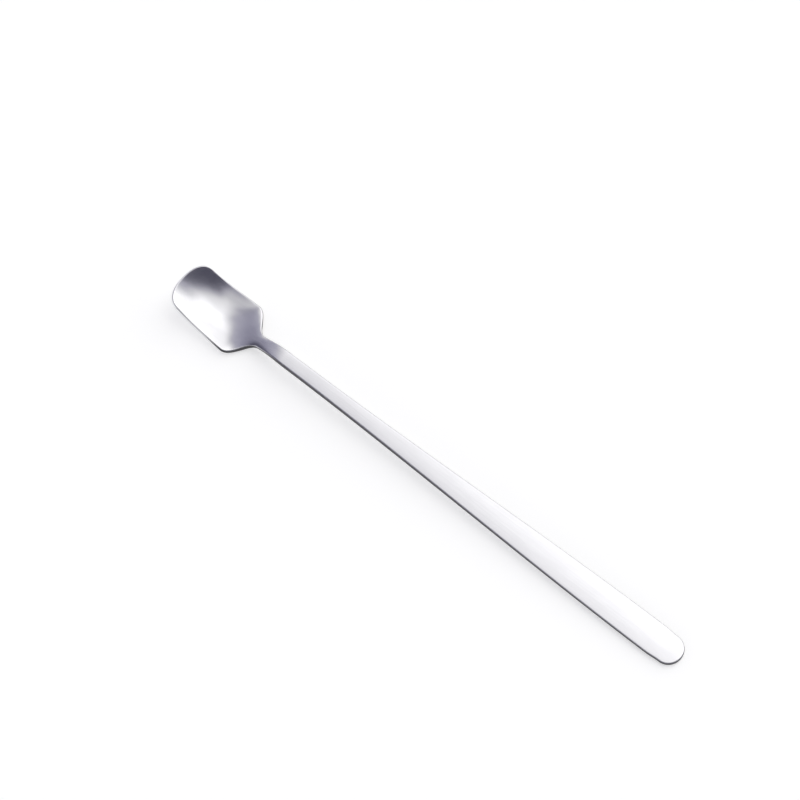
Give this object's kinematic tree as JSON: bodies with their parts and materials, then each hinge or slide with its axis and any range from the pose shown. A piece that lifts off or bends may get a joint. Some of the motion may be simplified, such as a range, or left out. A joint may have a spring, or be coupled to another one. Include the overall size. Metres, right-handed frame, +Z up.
{
  "type": "stirring spoon",
  "caption": "Slim stirring spoon with a small square-shouldered scoop, a cranked neck and a long flat handle that widens to a rounded end.",
  "frame": {"origin": "on the table that the spoon lies on, under the middle of its length and width", "axes": "+X from the tip of the bowl to the end of the handle, +Z up out of the bowl, +Y across"},
  "size_m": [0.2002, 0.0198, 0.0079],
  "materials": {
    "satin_steel": "satin stainless steel, brushed finely along its length, slightly cool in colour"
  },
  "bodies": {
    "root": {"bowl": "satin_steel", "handle": "satin_steel"}
  },
  "joints": []
}
